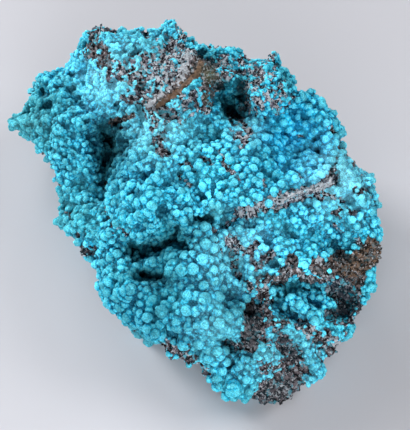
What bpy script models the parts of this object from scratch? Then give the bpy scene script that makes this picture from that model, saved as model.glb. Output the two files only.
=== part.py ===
"""A cabinet specimen of chrysocolla: a block of brown matrix rock under a botryoidal blue-green crust.

The block grew as one piece, so it is one solid. It is lofted from the edge that a viewer sees down to
a flat broken base, its relief is raised on the viewer's side, its hollows are cut out, and the lumps of
the crust are fused to it. +X runs along the block towards its low end, +Z is up, and the origin is on
the table under the middle of the block. Blender units are metres.
"""

import math

import bmesh
import bpy
import numpy as np
from mathutils import Vector, noise

MM = 0.001
SEED = 7

# The viewer: where the specimen is looked at from. A spot on the block is named by the pixel of the
# 410 x 430 view that it falls on, and by its height above the table.
VIEW_AZIMUTH = math.radians(57)
VIEW_ELEVATION = math.radians(52)
VIEW_DISTANCE = 0.80
PIXELS_PER_METRE = 2750.0
MIDDLE_PIXEL = (205.0, 215.0)
AIM = Vector((10.1 * MM, -5.2 * MM, 35 * MM))

# The edge of the block against the table, clockwise from the knob at its far left: pixel, then height
# in millimetres.
EDGE = [
    (105, 19, 62), (117, 25, 62), (140, 26, 63), (160, 25, 64), (180, 22, 66), (188, 33, 66),
    (205, 43, 66), (225, 46, 66), (243, 50, 66), (256, 57, 66), (276, 51, 68), (286, 60, 67),
    (295, 78, 64), (304, 91, 60), (318, 89, 58), (330, 106, 56), (340, 122, 54), (344, 145, 51),
    (358, 162, 48), (372, 178, 46), (380, 200, 44), (382, 218, 42), (387, 238, 38), (384, 258, 32),
    (376, 272, 28), (371, 290, 25), (365, 312, 21), (356, 338, 17), (340, 350, 14), (328, 358, 12),
    (325, 378, 8), (303, 386, 6), (295, 392, 4), (280, 405, 3), (255, 407, 3), (237, 407, 4),
    (220, 395, 6), (205, 372, 9), (190, 364, 11), (178, 361, 13), (165, 350, 15), (148, 340, 17),
    (128, 330, 19), (110, 315, 21), (98, 290, 23), (96, 262, 25), (82, 254, 26), (70, 243, 26),
    (58, 225, 27), (54, 205, 28), (58, 188, 28), (50, 168, 28), (41, 155, 28), (36, 140, 28),
    (22, 132, 28), (10, 126, 28), (15, 114, 30), (28, 96, 33), (36, 75, 37), (50, 70, 40),
    (66, 60, 44), (75, 43, 50), (88, 32, 56),
]
CROWN_PIXEL = (200, 190)
CROWN_HEIGHT = 36 * MM
CROWN_BULGE = 34 * MM
BASE_DEPTH = 5 * MM
FLANK_INSET = 3 * MM
FLANK_LEAN = (0.46, -0.36)
FLANK_SWELL = 0.10

# Relief on the viewer's side: name, pixels of the line it follows, reach and height in millimetres.
# A negative height is a valley.
RELIEF = [
    ("upper mass", [(120, 62), (190, 78)], 14, 5),
    ("upper right mass", [(258, 66), (282, 92)], 8, 5),
    ("middle hump", [(142, 172), (170, 212)], 10, 10),
    ("crest by the wing cleft", [(130, 126), (148, 150), (130, 166)], 5, 5),
    ("wing valley", [(118, 128), (108, 150), (100, 186)], 7, -15),
    ("wing fin, outer", [(46, 76), (32, 102)], 3, 4),
    ("wing fin, inner", [(56, 80), (62, 98)], 3, 3),
    ("wing pit", [(47, 105)], 3.2, -6),
    ("wing fold", [(70, 94), (86, 103)], 3.2, -6),
    ("wing furrow", [(60, 132), (84, 148)], 3.5, -4),
    ("flank ridge", [(60, 152), (90, 178)], 4, 3),
    ("flank furrow", [(66, 174), (92, 194)], 3.5, -4),
    ("left side gully", [(66, 200), (90, 242)], 5, -6),
    ("crown gully", [(128, 52), (146, 84)], 3.5, -5),
    ("right bowl", [(205, 125), (262, 125), (300, 145)], 10, -10),
    ("right wall", [(318, 100), (336, 150)], 5, 4),
    ("lower right bowl", [(284, 226), (330, 232)], 9, -8),
    ("right shoulder", [(352, 180), (372, 212)], 6, 4),
    ("cave brow", [(262, 284), (282, 275), (300, 272), (328, 275), (345, 262), (380, 240)], 3.5, 6),
    ("rib", [(243, 208), (270, 200), (300, 192), (330, 183), (338, 162)], 2.4, 6.5),
    ("under the rib", [(248, 226), (285, 210), (318, 202)], 2.6, -4),
    ("diagonal cleft, head", [(236, 214), (212, 222), (196, 224)], 3.2, -8),
    ("diagonal cleft", [(180, 238), (158, 248), (138, 250)], 4.5, -15),
    ("saddle pit", [(143, 275), (160, 276)], 3.2, -12),
    ("spur", [(180, 254), (198, 240), (206, 262), (206, 300)], 6, 6),
    ("lower spur", [(208, 318), (228, 326)], 6, 5),
    ("lower left shoulder", [(112, 290), (150, 312), (180, 320)], 8, 4),
    ("gully by the spur", [(236, 258), (236, 282)], 3.5, -6),
    ("hollow by the spur", [(222, 296), (246, 305)], 3.5, -11),
    ("front rock", [(262, 335), (280, 385)], 7, 5),
    ("front rock furrow", [(282, 338), (296, 362), (304, 378)], 3, -5),
    ("notch by the ball", [(229, 345), (230, 362)], 3.5, -9),
    ("cave sill", [(276, 320), (312, 333), (345, 345)], 3, 3),
]

# Hollows cut into the block: name, pixel of the middle, how far in front of the surface their middle
# lies, and their radii across, up and into the view, in millimetres. Their walls are uneven.
HOLLOWS = [
    ("vug", (232, 106), 0, (6.5, 5.5, 16)),
    ("vug gully", (226, 90), 0, (6, 3.5, 9)),
    ("wing cleft", (112, 142), 0, (5, 7.5, 11)),
    ("wing cleft, foot", (104, 168), 0, (3.2, 6, 8)),
    ("cave", (304, 304), 3, (13.5, 8.5, 14)),
    ("cave end", (344, 301), 0, (6.5, 8, 11)),
]

# Round lobes of crust on the viewer's side: name, pixels of the line they follow, radius in millimetres.
LOBES = [
    ("cave tongue", [(291, 298), (298, 303), (305, 309), (312, 315), (319, 321)], 2.8),
    ("foot ball", [(232, 391)], 4.2),
    ("spur ball", [(205, 297)], 3.0),
    ("spur ball, lower", [(185, 311)], 2.4),
    ("hanging ball", [(181, 345)], 2.7),
    ("green lobe", [(213, 214), (222, 211), (231, 209)], 2.2),
]

# Bare rock in the crust: name, pixels of the line it follows and half its width in millimetres.
BARE = [
    ("top knob", [(103, 22), (112, 24)], 3),
    ("upper left patch", [(92, 45), (102, 58)], 3),
    ("upper patch", [(158, 72), (186, 54)], 5),
    ("vein", [(150, 106), (198, 68)], 2),
    ("below the vug", [(238, 120), (255, 138)], 3),
    ("rib", [(238, 208), (270, 200), (300, 192), (330, 183), (338, 162)], 3),
    ("brown side", [(380, 248), (352, 265), (378, 285), (362, 315)], 7),
    ("cave brow", [(262, 284), (300, 274), (345, 265)], 3),
    ("cave hollow", [(320, 300), (350, 305)], 5),
    ("front rock", [(250, 318), (252, 345)], 4),
    ("front foot", [(288, 350), (290, 380), (270, 398)], 5),
    ("lower edge", [(168, 352), (196, 368)], 2),
]

# Unevenness of the rock under the crust and of the hollows' walls: the size of its swells, then their
# height. The outline gets this share of it.
ROUGHNESS = [(24 * MM, 4.0 * MM), (10 * MM, 2.2 * MM)]
WALL_ROUGHNESS = (8 * MM, 1.5 * MM)
OUTLINE_ROUGHNESS = 0.25

# The crust's thickness, its lumps, how deep they are sunk as a share of their radius, how far apart
# they stand as a multiple of it, and how many places are tried for them. None stands on the lowest edge.
CRUST_DEPTH = 1.7 * MM
LUMP_RADIUS = (3.0 * MM, 5.2 * MM)
LUMP_SINK = 0.4
LUMP_SPACING = 1.25
LUMP_TRIES = 30000
LOWEST_LUMP = 3 * MM

# Fineness of the surface
SURFACE_STEP = 1.4 * MM
LUMP_STEP = 1.0 * MM
TRIANGLES = 9800


def view_axes():
    """Right, up and towards the eye, for the viewer."""
    away = Vector((-math.sin(VIEW_AZIMUTH), math.cos(VIEW_AZIMUTH), 0))
    right = Vector((math.cos(VIEW_AZIMUTH), math.sin(VIEW_AZIMUTH), 0))
    lift = Vector((0, 0, 1))
    toward = -away * math.cos(VIEW_ELEVATION) + lift * math.sin(VIEW_ELEVATION)
    up = away * math.sin(VIEW_ELEVATION) + lift * math.cos(VIEW_ELEVATION)
    return right, up, toward


RIGHT, UP, TOWARD = view_axes()
EYE = AIM + TOWARD * VIEW_DISTANCE
FOCAL_PIXELS = PIXELS_PER_METRE * VIEW_DISTANCE


def seen(pixel, height):
    """The point at this height above the table that falls on this pixel of the view."""
    across = (pixel[0] - MIDDLE_PIXEL[0]) / FOCAL_PIXELS
    rise = (MIDDLE_PIXEL[1] - pixel[1]) / FOCAL_PIXELS
    ray = RIGHT * across + UP * rise - TOWARD
    return EYE + ray * ((height - EYE.z) / ray.z)


def view_mm(points):
    """Where points fall in the view, in millimetres at the distance of the aim, from the middle pixel."""
    offset = points - np.array(EYE)
    depth = -(offset @ np.array(TOWARD))
    scale = VIEW_DISTANCE / depth / MM
    return np.stack([offset @ np.array(RIGHT) * scale, offset @ np.array(UP) * scale], axis=1)


def pixel_mm(pixel):
    """A pixel as millimetres from the middle pixel, as view_mm gives them."""
    scale = 1 / (PIXELS_PER_METRE * MM)
    return np.array([(pixel[0] - MIDDLE_PIXEL[0]) * scale, (MIDDLE_PIXEL[1] - pixel[1]) * scale])


def distance_to_line(spots, pixels):
    """How far each spot of the view is from a line through these pixels, in millimetres."""
    line = [pixel_mm(p) for p in pixels]
    if len(line) == 1:
        return np.linalg.norm(spots - line[0], axis=1)
    nearest = np.full(len(spots), np.inf)
    for start, end in zip(line, line[1:]):
        span = end - start
        along = np.clip((spots - start) @ span / (span @ span), 0, 1)
        foot = start + along[:, None] * span
        nearest = np.minimum(nearest, np.linalg.norm(spots - foot, axis=1))
    return nearest


def edge_ring():
    return [seen((x, y), height * MM) for x, y, height in EDGE]


def outward_directions(ring):
    """The horizontal direction that faces out of the block at each point of its edge."""
    found = []
    for i in range(len(ring)):
        chord = ring[(i + 2) % len(ring)] - ring[i - 2]
        found.append(Vector((-chord.y, chord.x, 0)).normalized())
    return found


def smoothed(ring, rounds):
    for _ in range(rounds):
        ring = [(ring[i - 1] + ring[i] * 2 + ring[(i + 1) % len(ring)]) / 4 for i in range(len(ring))]
    return ring


def lower_rings(ring):
    """The rings under the edge, down to the base. The side away from the viewer bulges out and the near
    side is undercut, as far as the view leaves room for."""
    away = -Vector((TOWARD.x, TOWARD.y, 0)).normalized()
    base, flank = [], []
    for point, out in zip(ring, outward_directions(ring)):
        away_share = out.dot(away)
        inset = FLANK_INSET + point.z * (FLANK_LEAN[0] + FLANK_LEAN[1] * away_share)
        foot = Vector((point.x, point.y, 0)) - out * inset
        swell = point.z * FLANK_SWELL * (1 + away_share)
        middle = (Vector((point.x, point.y, 0)) + foot) / 2 + out * swell
        base.append(foot)
        flank.append(Vector((middle.x, middle.y, point.z * 0.5)))
    base = smoothed(base, 6)
    flank = smoothed(flank, 2)
    sunk = [Vector((p.x, p.y, -BASE_DEPTH)) for p in base]
    skirt = [(b + f) / 2 + Vector((0, 0, -f.z * 0.12)) for b, f in zip(base, flank)]
    return [sunk, skirt, flank]


def upper_rings(ring, count=14):
    """The rings from the edge to the crown, swelling towards the viewer."""
    crown = seen(CROWN_PIXEL, CROWN_HEIGHT)
    rings = []
    for level in range(1, count):
        share = 1 - math.cos(level / count * math.pi / 2)
        swell = CROWN_BULGE * math.sqrt(1 - (1 - share) ** 2)
        rings.append([p.lerp(crown, share) + TOWARD * swell for p in ring])
    return rings, crown + TOWARD * CROWN_BULGE


def make_body():
    """The block without its relief, as a closed mesh of even faces."""
    ring = edge_ring()
    rings, crown = upper_rings(ring)
    bm = bmesh.new()
    rows = [[bm.verts.new(p) for p in row] for row in lower_rings(ring) + [ring] + rings]
    count = len(ring)
    for low, high in zip(rows, rows[1:]):
        for i in range(count):
            j = (i + 1) % count
            bm.faces.new((low[i], high[i], high[j], low[j]))
    bm.faces.new(rows[0])
    top = bm.verts.new(crown)
    for i in range(count):
        bm.faces.new((rows[-1][i], top, rows[-1][(i + 1) % count]))
    bmesh.ops.recalc_face_normals(bm, faces=bm.faces)
    body = object_from(bm, "body")
    return remeshed(body, SURFACE_STEP)


def object_from(bm, name):
    mesh = bpy.data.meshes.new(name)
    bm.to_mesh(mesh)
    bm.free()
    obj = bpy.data.objects.new(name, mesh)
    bpy.context.scene.collection.objects.link(obj)
    return obj


def applied(obj):
    """The object with its modifiers made part of its mesh."""
    graph = bpy.context.evaluated_depsgraph_get()
    mesh = bpy.data.meshes.new_from_object(obj.evaluated_get(graph))
    obj.modifiers.clear()
    obj.data = mesh
    return obj


def remeshed(obj, step, smooth=0):
    voxels = obj.modifiers.new("even faces", "REMESH")
    voxels.mode = "VOXEL"
    voxels.voxel_size = step
    if smooth:
        soften = obj.modifiers.new("soften", "SMOOTH")
        soften.factor = 0.5
        soften.iterations = smooth
    return applied(obj)


def corners(mesh):
    points = np.empty(len(mesh.vertices) * 3)
    mesh.vertices.foreach_get("co", points)
    return points.reshape(-1, 3)


def facing(mesh):
    normals = np.empty(len(mesh.vertices) * 3)
    mesh.vertices.foreach_get("normal", normals)
    return normals.reshape(-1, 3)


def set_corners(mesh, points):
    mesh.vertices.foreach_set("co", points.ravel())
    mesh.update()


def raise_relief(obj):
    """Moves the viewer's side of the block to and from the viewer, by the relief."""
    points = corners(obj.data)
    spots = view_mm(points)
    lift = np.zeros(len(points))
    for _, pixels, reach, height in RELIEF:
        lift += height * MM * np.exp(-((distance_to_line(spots, pixels) / reach) ** 2))
    shown = np.clip(facing(obj.data) @ np.array(TOWARD) / 0.45, 0, 1)
    set_corners(obj.data, points + (lift * shown)[:, None] * np.array(TOWARD))


def roughen(obj, size, height, outline=1.0):
    """Uneven rock: every point moves along its own normal by smooth noise. Where the surface turns away
    from the viewer, at the block's outline, it moves by this share of that."""
    points, normals = corners(obj.data), facing(obj.data)
    moves = np.array([noise.fractal(Vector(p) / size, 0.8, 2.1, 3) for p in points]) * height
    turned = np.clip(np.abs(normals @ np.array(TOWARD)) / 0.6, 0, 1)
    moves *= outline + (1 - outline) * turned
    set_corners(obj.data, points + normals * moves[:, None])


def shrink(obj, depth):
    set_corners(obj.data, corners(obj.data) - facing(obj.data) * depth)


def ball(radius, detail):
    """(points, faces) of a round ball made of triangles."""
    bm = bmesh.new()
    bmesh.ops.create_icosphere(bm, subdivisions=detail, radius=radius)
    points = np.array([v.co for v in bm.verts])
    faces = np.array([[v.index for v in f.verts] for f in bm.faces])
    bm.free()
    return points, faces


def joined_balls(name, centres, axes, radii, detail):
    """One mesh of many ellipsoids. axes holds each one's three directions and radii its three radii."""
    points, faces = ball(1.0, detail)
    placed = [c + (points * r) @ a for c, a, r in zip(centres, axes, radii)]
    counted = [faces + i * len(points) for i in range(len(placed))]
    mesh = bpy.data.meshes.new(name)
    mesh.from_pydata(np.concatenate(placed), [], np.concatenate(counted))
    obj = bpy.data.objects.new(name, mesh)
    bpy.context.scene.collection.objects.link(obj)
    return obj


def surface_point(obj, pixel):
    """The point of the block that a viewer sees at this pixel."""
    direction = (seen(pixel, 0) - EYE).normalized()
    return obj.ray_cast(EYE, direction)[1]


def cut_hollows(obj):
    """Cuts the hollows out of the block. Their third radius points away from the viewer."""
    axes = np.array([RIGHT, UP, TOWARD])
    bpy.context.view_layer.update()
    centres = [np.array(surface_point(obj, pixel) + TOWARD * front * MM) for _, pixel, front, _ in HOLLOWS]
    radii = [np.array(size) * MM for _, _, _, size in HOLLOWS]
    cutter = joined_balls("hollows", centres, [axes] * len(HOLLOWS), radii, 3)
    remeshed(cutter, SURFACE_STEP)
    roughen(cutter, *WALL_ROUGHNESS)
    cut = obj.modifiers.new("hollows", "BOOLEAN")
    cut.operation = "DIFFERENCE"
    cut.object = cutter
    applied(obj)
    bpy.data.objects.remove(cutter)


def bareness(points):
    """From 0 in the crust to 1 on bare rock, for each point."""
    spots = view_mm(points)
    bare = np.zeros(len(points))
    for _, pixels, width in BARE:
        bare = np.maximum(bare, np.clip(1.5 - distance_to_line(spots, pixels) / width, 0, 1))
    return bare


def scattered(obj, spacing_of, rng):
    """Spots on the surface, no two nearer than the wider of their spacings. Each has a point, a normal
    and its spacing."""
    obj.data.calc_loop_triangles()
    triangles = np.array([t.vertices for t in obj.data.loop_triangles])
    places = corners(obj.data)[triangles]
    normals = np.cross(places[:, 1] - places[:, 0], places[:, 2] - places[:, 0])
    areas = np.linalg.norm(normals, axis=1)
    normals = normals / areas[:, None]
    chosen = rng.choice(len(areas), LUMP_TRIES, p=areas / areas.sum())
    weights = rng.dirichlet((1, 1, 1), LUMP_TRIES)
    points = np.einsum("tc,tcd->td", weights, places[chosen])
    spacings = spacing_of(points, rng)
    grid, kept = {}, []
    cell = max(spacings)
    for i in range(LUMP_TRIES):
        key = tuple(np.floor(points[i] / cell).astype(int))
        near = [
            k
            for dx in (-1, 0, 1)
            for dy in (-1, 0, 1)
            for dz in (-1, 0, 1)
            for k in grid.get((key[0] + dx, key[1] + dy, key[2] + dz), ())
        ]
        if all(np.linalg.norm(points[i] - points[k]) > max(spacings[i], spacings[k]) for k in near):
            grid.setdefault(key, []).append(i)
            kept.append(i)
    return points[kept], normals[chosen[kept]], spacings[kept]


def lump_spacing(points, rng):
    low, high = LUMP_RADIUS
    return rng.uniform(low, high, len(points)) * LUMP_SPACING


def fuse_lumps(obj, rng):
    """Round lumps of crust, sunk into the block and fused to it."""
    points, normals, spacings = scattered(obj, lump_spacing, rng)
    crust = bareness(points) < rng.uniform(0.3, 0.8, len(points))
    crust &= points[:, 2] > LOWEST_LUMP
    radii = spacings[crust] / LUMP_SPACING
    centres = points[crust] - normals[crust] * radii[:, None] * LUMP_SINK
    bpy.context.view_layer.update()
    for _, pixels, radius in LOBES:
        spots = np.array([surface_point(obj, pixel) for pixel in pixels])
        centres = np.concatenate([centres, spots])
        radii = np.concatenate([radii, np.full(len(spots), radius * MM)])
    lumps = joined_balls(
        "lumps", centres, [np.eye(3)] * len(centres), [np.full(3, r) for r in radii], 2
    )
    bm = bmesh.new()
    bm.from_mesh(obj.data)
    bm.from_mesh(lumps.data)
    bm.to_mesh(obj.data)
    bm.free()
    bpy.data.objects.remove(lumps)
    remeshed(obj, LUMP_STEP, smooth=1)


def simplify(obj, triangles):
    count = sum(len(p.vertices) - 2 for p in obj.data.polygons)
    fewer = obj.modifiers.new("fewer faces", "DECIMATE")
    fewer.ratio = triangles / count
    return applied(obj)


def flatten_base(obj):
    """Cuts the block off flat where it stands on the table."""
    bm = bmesh.new()
    bm.from_mesh(obj.data)
    everything = bm.verts[:] + bm.edges[:] + bm.faces[:]
    cut = bmesh.ops.bisect_plane(
        bm, geom=everything, dist=1e-6, plane_co=(0, 0, 0), plane_no=(0, 0, 1), clear_inner=True
    )
    rim = [e for e in cut["geom_cut"] if isinstance(e, bmesh.types.BMEdge)]
    bmesh.ops.triangle_fill(bm, edges=rim, use_beauty=True)
    bmesh.ops.triangulate(bm, faces=bm.faces)
    bmesh.ops.recalc_face_normals(bm, faces=bm.faces)
    bm.to_mesh(obj.data)
    bm.free()


def stone_material():
    material = bpy.data.materials.new("chrysocolla crust")
    material.use_nodes = True
    shader = material.node_tree.nodes["Principled BSDF"]
    shader.inputs["Base Color"].default_value = (0.07, 0.45, 0.58, 1)
    shader.inputs["Roughness"].default_value = 0.6
    shader.inputs["Metallic"].default_value = 0.0
    return material


def main():
    for obj in list(bpy.data.objects):
        bpy.data.objects.remove(obj)
    rng = np.random.default_rng(SEED)
    block = make_body()
    raise_relief(block)
    for size, height in ROUGHNESS:
        roughen(block, size, height, OUTLINE_ROUGHNESS)
    shrink(block, CRUST_DEPTH)
    remeshed(block, SURFACE_STEP)
    cut_hollows(block)
    remeshed(block, SURFACE_STEP, smooth=2)
    fuse_lumps(block, rng)
    simplify(block, TRIANGLES)
    flatten_base(block)
    block.name = "chrysocolla_specimen"
    block.data.name = block.name
    block.data.materials.append(stone_material())


main()
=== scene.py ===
"""The looks of a chrysocolla specimen: a botryoidal blue-green crust on brown matrix rock, on a pale table.

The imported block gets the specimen's finer pits, ledges and rough rock, and thousands of balls of crust
are fused to it, of the size and colour that each region of the specimen has. The regions are named by
the pixels of the 410 x 430 view that they fall on. Units are metres.
"""

import math

import bmesh
import bpy
import numpy as np
from mathutils import Matrix, Vector, noise
from mathutils.bvhtree import BVHTree
from mathutils.kdtree import KDTree


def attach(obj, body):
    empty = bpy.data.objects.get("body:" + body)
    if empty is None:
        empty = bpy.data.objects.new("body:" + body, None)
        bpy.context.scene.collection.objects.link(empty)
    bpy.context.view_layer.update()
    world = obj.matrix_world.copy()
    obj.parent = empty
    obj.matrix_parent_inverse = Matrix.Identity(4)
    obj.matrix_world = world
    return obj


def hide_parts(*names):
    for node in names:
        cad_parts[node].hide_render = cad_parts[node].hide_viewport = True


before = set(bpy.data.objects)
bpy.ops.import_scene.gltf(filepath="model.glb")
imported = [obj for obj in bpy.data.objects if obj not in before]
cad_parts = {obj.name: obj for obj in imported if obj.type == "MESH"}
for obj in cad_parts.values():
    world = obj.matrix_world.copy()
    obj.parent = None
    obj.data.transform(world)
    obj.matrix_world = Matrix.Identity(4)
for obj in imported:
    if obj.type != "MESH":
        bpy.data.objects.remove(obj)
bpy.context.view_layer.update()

MM = 0.001
SEED = 11
NODE = "chrysocolla_specimen"

# The view, as the block itself was laid out by
VIEW_AZIMUTH = math.radians(57)
VIEW_ELEVATION = math.radians(52)
VIEW_DISTANCE = 0.80
PIXELS_PER_METRE = 2750.0
PICTURE = (410, 430)
MIDDLE_PIXEL = (205.0, 215.0)
AIM = Vector((10.1 * MM, -5.2 * MM, 35 * MM))
SENSOR_MM = 36.0

# The surface under the crust, and the finished one
BASE_STEP = 0.7 * MM
BASE_SOFTENING = 6
FINE_STEP = 0.44 * MM
FINE_SOFTENING = 1
UNDERSIDE = 1.0 * MM
KEPT_FACES = 0.88
PIECES = ["tall_end", "shoulder", "middle", "waist", "lower_body", "low_end"]
SEEN_DEPTH = (9 * MM, 15 * MM)
BALL_TRIES = 260000
BALL_CLOSENESS = 0.60
NEAREST = 6
HOST_RADIUS = 1.1 * MM
BUDS = 4

# Balls of crust: name, pixel, reach in pixels and their usual radius in millimetres
BALL_SIZES = [
    ("left wing", (50, 110), 45, 0.56),
    ("left flank", (80, 200), 45, 0.78),
    ("top", (140, 65), 58, 0.48),
    ("upper right mass", (262, 80), 35, 0.46),
    ("middle hump", (150, 190), 35, 0.85),
    ("right bowl", (290, 140), 45, 0.92),
    ("lower right bowl", (310, 225), 50, 0.76),
    ("saddle", (120, 265), 30, 1.05),
    ("lower body", (160, 310), 50, 1.25),
    ("spur", (205, 300), 25, 1.25),
    ("cave", (300, 305), 30, 0.72),
    ("front rock", (280, 360), 35, 0.6),
    ("foot", (225, 380), 25, 1.15),
]

# Parts of the outline: name, pixels of the line they follow, reach in millimetres and how far they stand
# out to the viewer's right and up, in millimetres
RIM = [
    ("top knob", [(95, 27)], 3.5, (-0.8, 1.8)),
    ("second knob", [(166, 26), (176, 26)], 2.4, (0.0, 3.4)),
    ("ridge, left", [(120, 26), (144, 30)], 2.4, (0.0, -1.8)),
    ("ridge", [(190, 38), (206, 44)], 2.4, (0.0, -1.2)),
    ("slope's edge", [(78, 42)], 2.6, (1.0, -1.2)),
    ("mass corner", [(276, 53)], 3.8, (1.4, 1.9)),
    ("wing tip", [(22, 110)], 4.0, (4.2, 0.6)),
    ("wing edge", [(34, 90)], 3.0, (3.0, -2.4)),
    ("left rim, high", [(52, 165)], 3.0, (1.6, 0.0)),
    ("left rim", [(57, 183)], 3.0, (-1.2, 0.0)),
    ("left rim, low", [(60, 200)], 2.5, (1.2, 0.0)),
    ("left corner", [(76, 243)], 2.5, (1.8, 0.3)),
    ("left corner, low", [(81, 255)], 2.5, (-1.2, -0.9)),
    ("saddle's edge", [(91, 267)], 2.6, (2.4, 1.8)),
    ("left shoulder", [(135, 333)], 3.0, (1.2, 2.8)),
    ("under the left shoulder", [(152, 343)], 2.4, (0.7, 1.6)),
    ("low edge", [(172, 355), (190, 364), (204, 372)], 3.2, (-0.6, -4.6)),
    ("foot", [(224, 397), (246, 402)], 3.0, (0.0, 2.2)),
    ("foot rock", [(264, 398), (286, 392), (302, 380), (320, 372)], 4.0, (0.9, -2.2)),
    ("sill's end", [(329, 353)], 3.0, (0.3, -0.3)),
    ("low rim", [(349, 344)], 3.0, (-1.5, 1.3)),
    ("cave's foot", [(355, 324)], 3.0, (0.4, -0.2)),
    ("cave's side", [(366, 287)], 4.0, (3.6, -0.6)),
    ("brown side", [(378, 252)], 3.0, (1.4, 0.0)),
    ("right rim", [(376, 198), (373, 215)], 3.0, (-0.8, 0.0)),
    ("bowl's rim, high", [(314, 92)], 2.6, (0.5, 0.5)),
    ("bowl's rim", [(338, 134)], 2.6, (1.4, 0.8)),
    ("bowl's rim, low", [(348, 156)], 2.4, (-1.5, -0.8)),
    ("shoulder's rim", [(372, 178)], 2.4, (1.1, 0.5)),
]

# Single large balls: name, pixel and radius in millimetres
LARGE_BALLS = [
    ("foot", (232, 390), 3.5),
    ("foot, left", (208, 368), 1.9),
    ("foot, middle", (222, 373), 1.9),
    ("foot, right", (252, 380), 1.5),
    ("spur", (205, 298), 2.7),
    ("under the spur", (187, 311), 2.1),
    ("hanging", (182, 345), 2.3),
    ("beside the hanging ball", (174, 323), 1.8),
    ("left shoulder", (120, 308), 2.1),
    ("left shoulder, upper", (130, 298), 1.8),
    ("saddle", (133, 275), 2.0),
    ("saddle, upper", (127, 254), 1.6),
    ("saddle, left", (121, 262), 1.6),
    ("saddle ridge", (148, 264), 1.5),
    ("spur crown", (213, 268), 1.9),
    ("spur crown, left", (187, 270), 1.9),
    ("low lobe", (217, 325), 2.2),
    ("hump", (152, 204), 1.9),
    ("left lobe", (66, 222), 1.7),
    ("vug's sill", (222, 116), 1.6),
    ("bowl", (268, 126), 2.3),
    ("bowl, low", (266, 152), 1.8),
    ("bowl, middle", (282, 138), 1.7),
    ("bowl, right", (293, 131), 1.3),
    ("rib's ball", (270, 205), 1.5),
    ("brow's ball", (327, 272), 0.8),
    ("green lobe", (213, 214), 1.8),
    ("green lobe, middle", (220, 211), 1.9),
    ("green lobe, right", (229, 209), 1.8),
    ("cave tongue, top", (291, 297), 1.6),
    ("cave tongue, upper", (298, 303), 1.8),
    ("cave tongue, middle", (305, 309), 1.9),
    ("cave tongue, lower", (311, 315), 1.9),
    ("cave tongue, foot", (316, 321), 1.7),
]

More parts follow.
